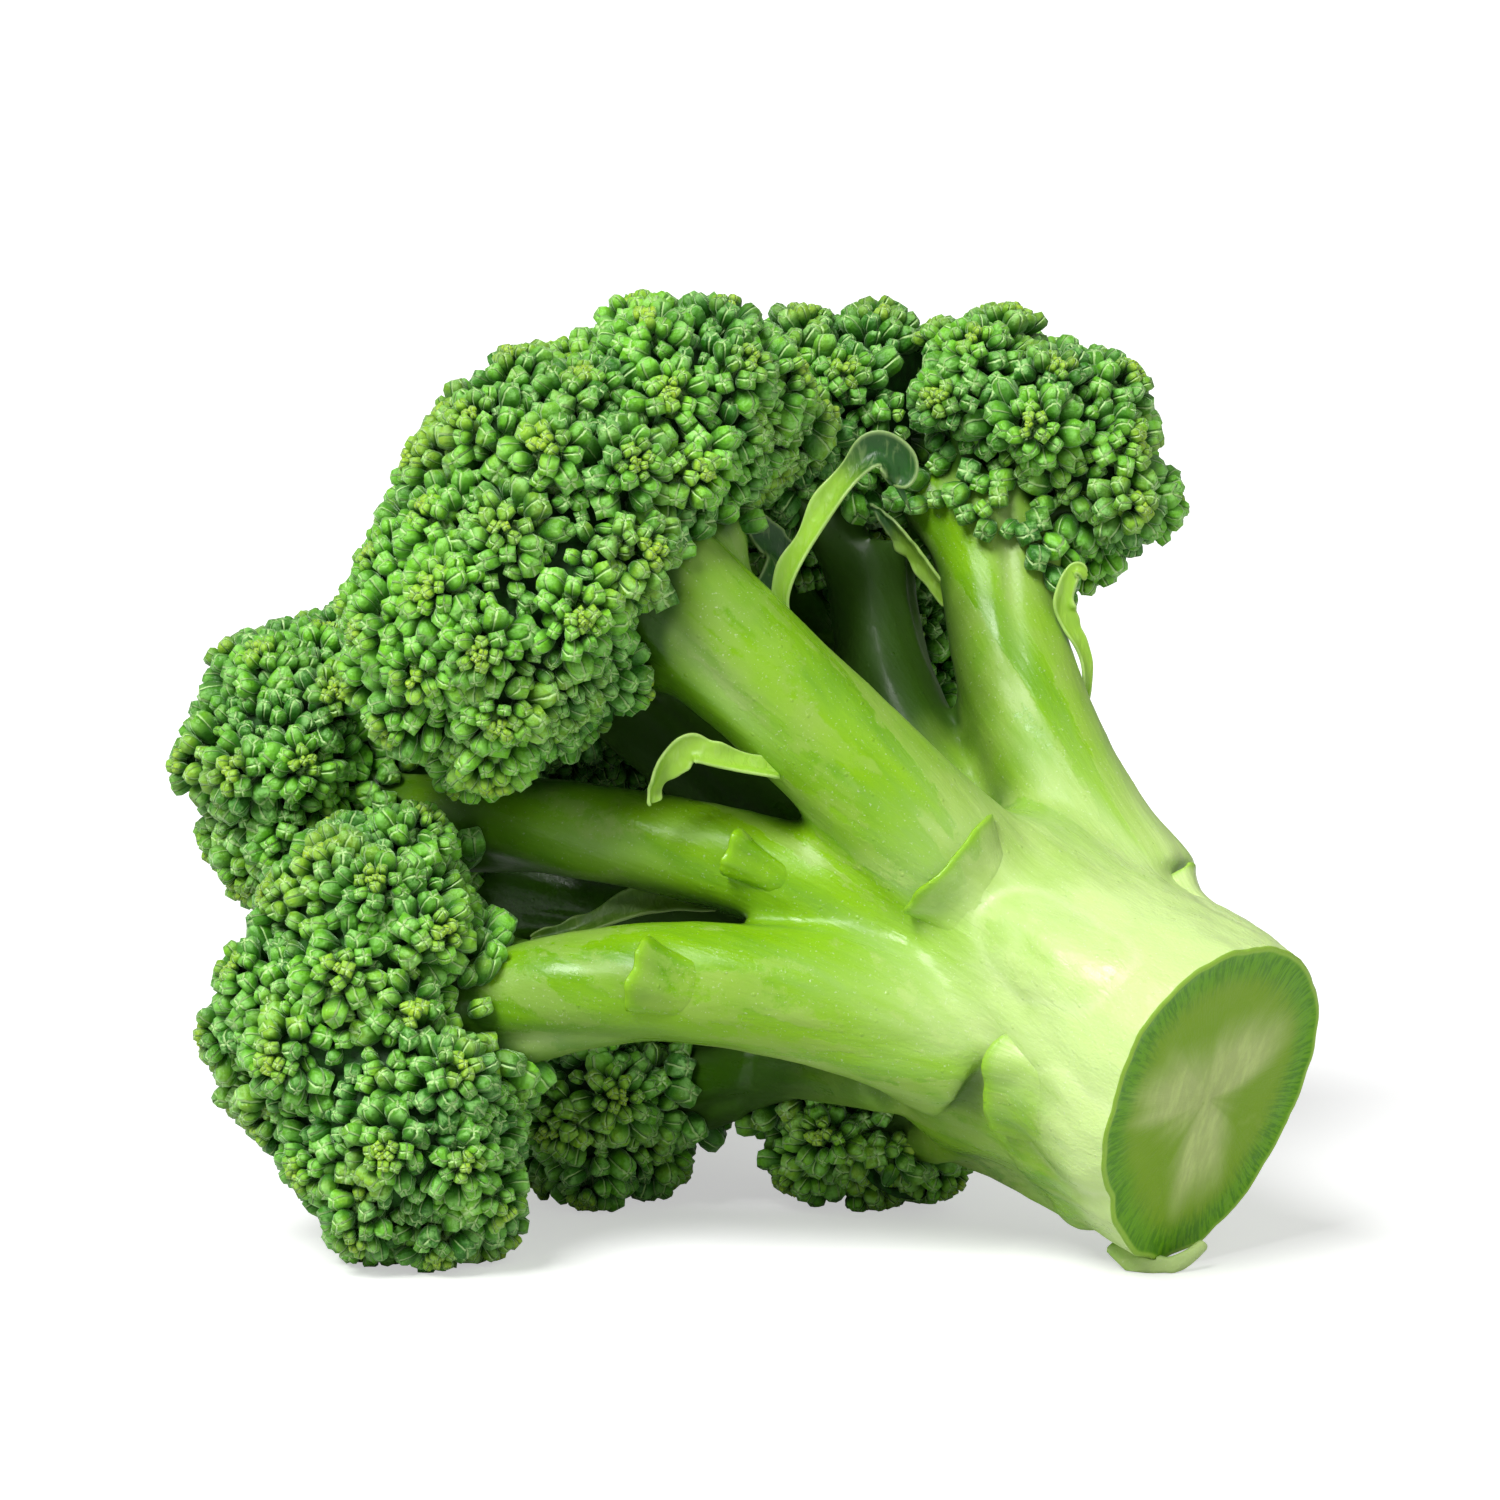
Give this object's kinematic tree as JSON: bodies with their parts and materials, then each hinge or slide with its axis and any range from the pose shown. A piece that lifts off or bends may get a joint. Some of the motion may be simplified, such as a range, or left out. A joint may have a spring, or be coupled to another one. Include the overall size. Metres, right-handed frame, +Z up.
{
  "type": "broccoli head",
  "caption": "Cut head of broccoli lying on its side: a thick stalk, cut flat, forks into branches that each carry a domed floret of tight buds, with a few small leaves.",
  "frame": {"origin": "middle of the head's footprint, on the surface that it lies on", "axes": "+Z up; the cut end of the stalk faces +X, -Y and a little down, and the crown opens towards -X and +Y"},
  "size_m": [0.139, 0.1326, 0.1159],
  "materials": {
    "stem": "satin",
    "floret": "matte",
    "leaf": "satin"
  },
  "bodies": {
    "root": {"stalk": "stem", "branch_front": "stem", "branch_right": "stem", "branch_low_left": "stem", "branch_left": "stem", "branch_middle": "stem", "branch_low_centre": "stem", "branch_low_back": "stem", "branch_heart": "stem", "branch_behind_right": "stem", "branch_back_top": "stem", "branch_back": "stem", "branch_back_right": "stem", "branch_back_low": "stem", "branch_back_left": "stem", "leaf_curled": "leaf", "leaf_tall": "leaf", "leaf_dark": "leaf", "leaf_right": "leaf", "leaf_inner": "leaf", "leaf_under": "leaf", "stub_low_left": "leaf", "stub_left": "leaf", "stub_front": "leaf", "stub_low": "leaf", "torn_edge": "leaf", "stub_top": "leaf", "floret_front": "floret", "floret_right": "floret", "floret_low_left": "floret", "floret_left": "floret", "floret_middle": "floret", "floret_low_centre": "floret", "floret_low_back": "floret", "floret_heart": "floret", "floret_behind_right": "floret", "floret_back_top": "floret", "floret_back": "floret", "floret_back_right": "floret", "floret_back_low": "floret", "floret_back_left": "floret"}
  },
  "joints": []
}
